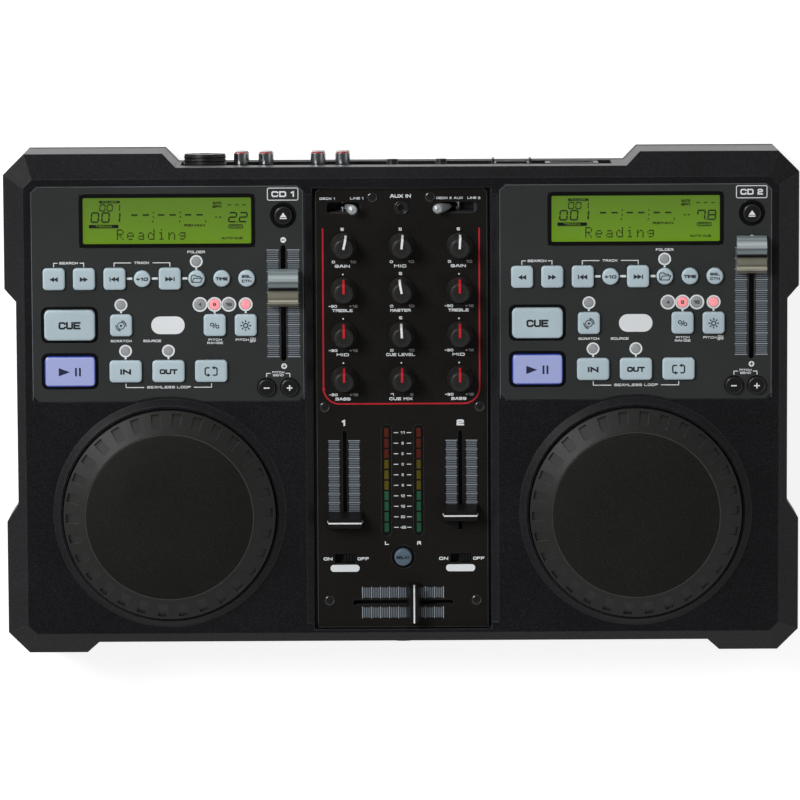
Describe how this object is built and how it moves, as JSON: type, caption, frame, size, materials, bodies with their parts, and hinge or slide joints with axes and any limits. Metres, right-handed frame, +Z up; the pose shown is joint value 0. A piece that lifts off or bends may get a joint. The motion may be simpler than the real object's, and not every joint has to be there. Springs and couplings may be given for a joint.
{
  "type": "tabletop dj cd player",
  "caption": "Tabletop disc console: front-loading disc slots, notched jog wheels, displays and key decks either side of a mixer with knobs, faders and level meters",
  "frame": {"origin": "on the table, under the middle of the case", "axes": "+X right, +Y towards the rear, +Z up; the panel slopes up to the rear by 6.5 degrees"},
  "size_m": [0.4436, 0.2818, 0.1067],
  "materials": {
    "housing": "satin, finely speckled black",
    "pan": "satin black",
    "rear_plate": "satin black with white legends",
    "mixer_face": "satin black with white and red print",
    "deck_face": "satin dark grey with white print",
    "window": "clear",
    "display": "grey-green display glass in a dark frame",
    "board": "green board with black and grey components",
    "component": "dark grey",
    "drive_metal": "plain zinc-plated sheet",
    "bezel": "gloss black",
    "supply": "board with steel core and black capacitors",
    "jack_shell": "nickel with a coloured insulator",
    "socket": "black with nickel nuts",
    "inlet": "black",
    "screw": "black oxide",
    "foot": "matte black",
    "lens": "tinted",
    "bearing": "plain",
    "jog": "satin dark grey rim, black disc",
    "key": "translucent pale grey",
    "play_key": "translucent pale blue",
    "relay": "blue-grey",
    "pitch_cap": "champagne silver",
    "fader_cap": "black with a white line",
    "knob": "satin black with a white or red pointer",
    "lever": "polished",
    "slider": "black",
    "rocker": "gloss black",
    "turntable": "black with a steel spindle"
  },
  "bodies": {
    "console": {"top_housing": "housing", "bottom_pan": "pan", "rear_panel": "rear_plate", "mixer_plate": "mixer_face", "deck_plates": "deck_face", "display_windows": "window", "display_modules": "display", "circuit_boards": "board", "potentiometers": "component", "fader_tracks": "component", "switch_bodies": "component", "drive_frames": "drive_metal", "slot_bezels": "bezel", "power_supply": "supply", "phono_jacks": "jack_shell", "jack_sockets": "socket", "power_inlet": "inlet", "screws": "screw", "feet": "foot", "indicator_lenses": "lens", "jog_bearings": "bearing"},
    "jog_wheel_1": {"jog_wheel_1": "jog"},
    "jog_wheel_2": {"jog_wheel_2": "jog"},
    "crossfader": {"crossfader": "fader_cap"},
    "channel_fader_1": {"channel_fader_1": "fader_cap"},
    "channel_fader_2": {"channel_fader_2": "fader_cap"},
    "pitch_fader_1": {"pitch_fader_1": "pitch_cap"},
    "pitch_fader_2": {"pitch_fader_2": "pitch_cap"},
    "input_selector_1": {"input_selector_1": "lever"},
    "input_selector_2": {"input_selector_2": "lever"},
    "start_switch_1": {"start_switch_1": "slider"},
    "start_switch_2": {"start_switch_2": "slider"},
    "power_switch": {"power_switch": "rocker"},
    "gain_knob_1": {"gain_knob_1": "knob"},
    "treble_knob_1": {"treble_knob_1": "knob"},
    "mid_knob_1": {"mid_knob_1": "knob"},
    "bass_knob_1": {"bass_knob_1": "knob"},
    "mic_knob": {"mic_knob": "knob"},
    "master_knob": {"master_knob": "knob"},
    "cue_level_knob": {"cue_level_knob": "knob"},
    "cue_mix_knob": {"cue_mix_knob": "knob"},
    "gain_knob_2": {"gain_knob_2": "knob"},
    "treble_knob_2": {"treble_knob_2": "knob"},
    "mid_knob_2": {"mid_knob_2": "knob"},
    "bass_knob_2": {"bass_knob_2": "knob"},
    "drive_turntable_1": {"drive_turntable_1": "turntable"},
    "drive_turntable_2": {"drive_turntable_2": "turntable"},
    "play_key_1": {"play_key_1": "play_key"},
    "cue_key_1": {"cue_key_1": "key"},
    "eject_key_1": {"eject_key_1": "key"},
    "transport_keys_1": {"transport_keys_1": "key"},
    "function_keys_1": {"function_keys_1": "key"},
    "loop_keys_1": {"loop_keys_1": "key"},
    "play_key_2": {"play_key_2": "play_key"},
    "cue_key_2": {"cue_key_2": "key"},
    "eject_key_2": {"eject_key_2": "key"},
    "transport_keys_2": {"transport_keys_2": "key"},
    "function_keys_2": {"function_keys_2": "key"},
    "loop_keys_2": {"loop_keys_2": "key"},
    "relay_button": {"relay_button": "relay"}
  },
  "joints": [
    {"name": "jog_wheel_1_turn", "type": "hinge", "parent": "console", "child": "jog_wheel_1", "pos_m": [-0.1304, -0.06118, 0.07881], "axis": [0, -0.1132, 0.9936], "continuous": true},
    {"name": "jog_wheel_2_turn", "type": "hinge", "parent": "console", "child": "jog_wheel_2", "pos_m": [0.1304, -0.06118, 0.07881], "axis": [0, -0.1132, 0.9936], "continuous": true},
    {"name": "crossfader_slide", "type": "slide", "parent": "console", "child": "crossfader", "axis": [1, 0, 0], "range_m": [-0.0287, 0.0163]},
    {"name": "channel_fader_1_slide", "type": "slide", "parent": "console", "child": "channel_fader_1", "axis": [0, 0.9936, 0.1132], "range_m": [0, 0.0452]},
    {"name": "channel_fader_2_slide", "type": "slide", "parent": "console", "child": "channel_fader_2", "axis": [0, 0.9936, 0.1132], "range_m": [-0.004, 0.0412]},
    {"name": "pitch_fader_1_slide", "type": "slide", "parent": "console", "child": "pitch_fader_1", "axis": [0, 0.9936, 0.1132], "range_m": [-0.039, 0.021]},
    {"name": "pitch_fader_2_slide", "type": "slide", "parent": "console", "child": "pitch_fader_2", "axis": [0, 0.9936, 0.1132], "range_m": [-0.0565, 0.0035]},
    {"name": "input_selector_1_tilt", "type": "hinge", "parent": "console", "child": "input_selector_1", "pos_m": [-0.0323, 0.11165, 0.08391], "axis": [0, 0.9936, 0.1132], "range_deg": [-30, 0]},
    {"name": "input_selector_2_tilt", "type": "hinge", "parent": "console", "child": "input_selector_2", "pos_m": [0.0312, 0.11165, 0.08391], "axis": [0, 0.9936, 0.1132], "range_deg": [0, 66]},
    {"name": "start_switch_1_slide", "type": "slide", "parent": "console", "child": "start_switch_1", "axis": [1, 0, 0], "range_m": [-0.0048, 0]},
    {"name": "start_switch_2_slide", "type": "slide", "parent": "console", "child": "start_switch_2", "axis": [1, 0, 0], "range_m": [-0.0048, 0]},
    {"name": "power_switch_rock", "type": "hinge", "parent": "console", "child": "power_switch", "pos_m": [0.06205, 0.12922, 0.05], "axis": [1, 0, 0], "range_deg": [0, 16]},
    {"name": "gain_knob_1_turn", "type": "hinge", "parent": "console", "child": "gain_knob_1", "pos_m": [-0.03235, 0.08903, 0.09341], "axis": [0, -0.1132, 0.9936], "range_deg": [-138, 162]},
    {"name": "treble_knob_1_turn", "type": "hinge", "parent": "console", "child": "treble_knob_1", "pos_m": [-0.03235, 0.06409, 0.09057], "axis": [0, -0.1132, 0.9936], "range_deg": [-150, 150]},
    {"name": "mid_knob_1_turn", "type": "hinge", "parent": "console", "child": "mid_knob_1", "pos_m": [-0.03235, 0.03916, 0.08773], "axis": [0, -0.1132, 0.9936], "range_deg": [-150, 150]},
    {"name": "bass_knob_1_turn", "type": "hinge", "parent": "console", "child": "bass_knob_1", "pos_m": [-0.03235, 0.01422, 0.08489], "axis": [0, -0.1132, 0.9936], "range_deg": [-150, 150]},
    {"name": "mic_knob_turn", "type": "hinge", "parent": "console", "child": "mic_knob", "pos_m": [0, 0.08903, 0.09341], "axis": [0, -0.1132, 0.9936], "range_deg": [-145, 155]},
    {"name": "master_knob_turn", "type": "hinge", "parent": "console", "child": "master_knob", "pos_m": [0, 0.06409, 0.09057], "axis": [0, -0.1132, 0.9936], "range_deg": [-160, 140]},
    {"name": "cue_level_knob_turn", "type": "hinge", "parent": "console", "child": "cue_level_knob", "pos_m": [0, 0.03916, 0.08773], "axis": [0, -0.1132, 0.9936], "range_deg": [-153, 147]},
    {"name": "cue_mix_knob_turn", "type": "hinge", "parent": "console", "child": "cue_mix_knob", "pos_m": [0, 0.01422, 0.08489], "axis": [0, -0.1132, 0.9936], "range_deg": [-150, 150]},
    {"name": "gain_knob_2_turn", "type": "hinge", "parent": "console", "child": "gain_knob_2", "pos_m": [0.03235, 0.08903, 0.09341], "axis": [0, -0.1132, 0.9936], "range_deg": [-147, 153]},
    {"name": "treble_knob_2_turn", "type": "hinge", "parent": "console", "child": "treble_knob_2", "pos_m": [0.03235, 0.06409, 0.09057], "axis": [0, -0.1132, 0.9936], "range_deg": [-150, 150]},
    {"name": "mid_knob_2_turn", "type": "hinge", "parent": "console", "child": "mid_knob_2", "pos_m": [0.03235, 0.03916, 0.08773], "axis": [0, -0.1132, 0.9936], "range_deg": [-150, 150]},
    {"name": "bass_knob_2_turn", "type": "hinge", "parent": "console", "child": "bass_knob_2", "pos_m": [0.03235, 0.01422, 0.08489], "axis": [0, -0.1132, 0.9936], "range_deg": [-150, 150]},
    {"name": "drive_turntable_1_spin", "type": "hinge", "parent": "console", "child": "drive_turntable_1", "pos_m": [-0.098, -0.05515, 0.0292], "axis": [0, 0, 1], "continuous": true},
    {"name": "drive_turntable_2_spin", "type": "hinge", "parent": "console", "child": "drive_turntable_2", "pos_m": [0.098, -0.05515, 0.0292], "axis": [0, 0, 1], "continuous": true},
    {"name": "play_key_1_press", "type": "slide", "parent": "console", "child": "play_key_1", "axis": [0, 0.1132, -0.9936], "range_m": [0, 0.0008], "stiffness_N_per_m": 1500, "springref_m": -0.0005},
    {"name": "cue_key_1_press", "type": "slide", "parent": "console", "child": "cue_key_1", "axis": [0, 0.1132, -0.9936], "range_m": [0, 0.0008], "stiffness_N_per_m": 1500, "springref_m": -0.0005},
    {"name": "eject_key_1_press", "type": "slide", "parent": "console", "child": "eject_key_1", "axis": [0, 0.1132, -0.9936], "range_m": [0, 0.0008], "stiffness_N_per_m": 1500, "springref_m": -0.0005},
    {"name": "transport_keys_1_press", "type": "slide", "parent": "console", "child": "transport_keys_1", "axis": [0, 0.1132, -0.9936], "range_m": [0, 0.0008], "stiffness_N_per_m": 1500, "springref_m": -0.0005},
    {"name": "function_keys_1_press", "type": "slide", "parent": "console", "child": "function_keys_1", "axis": [0, 0.1132, -0.9936], "range_m": [0, 0.0008], "stiffness_N_per_m": 1500, "springref_m": -0.0005},
    {"name": "loop_keys_1_press", "type": "slide", "parent": "console", "child": "loop_keys_1", "axis": [0, 0.1132, -0.9936], "range_m": [0, 0.0008], "stiffness_N_per_m": 1500, "springref_m": -0.0005},
    {"name": "play_key_2_press", "type": "slide", "parent": "console", "child": "play_key_2", "axis": [0, 0.1132, -0.9936], "range_m": [0, 0.0008], "stiffness_N_per_m": 1500, "springref_m": -0.0005},
    {"name": "cue_key_2_press", "type": "slide", "parent": "console", "child": "cue_key_2", "axis": [0, 0.1132, -0.9936], "range_m": [0, 0.0008], "stiffness_N_per_m": 1500, "springref_m": -0.0005},
    {"name": "eject_key_2_press", "type": "slide", "parent": "console", "child": "eject_key_2", "axis": [0, 0.1132, -0.9936], "range_m": [0, 0.0008], "stiffness_N_per_m": 1500, "springref_m": -0.0005},
    {"name": "transport_keys_2_press", "type": "slide", "parent": "console", "child": "transport_keys_2", "axis": [0, 0.1132, -0.9936], "range_m": [0, 0.0008], "stiffness_N_per_m": 1500, "springref_m": -0.0005},
    {"name": "function_keys_2_press", "type": "slide", "parent": "console", "child": "function_keys_2", "axis": [0, 0.1132, -0.9936], "range_m": [0, 0.0008], "stiffness_N_per_m": 1500, "springref_m": -0.0005},
    {"name": "loop_keys_2_press", "type": "slide", "parent": "console", "child": "loop_keys_2", "axis": [0, 0.1132, -0.9936], "range_m": [0, 0.0008], "stiffness_N_per_m": 1500, "springref_m": -0.0005},
    {"name": "relay_button_press", "type": "slide", "parent": "console", "child": "relay_button", "axis": [0, 0.1132, -0.9936], "range_m": [0, 0.0008], "stiffness_N_per_m": 1500, "springref_m": -0.0005}
  ]
}
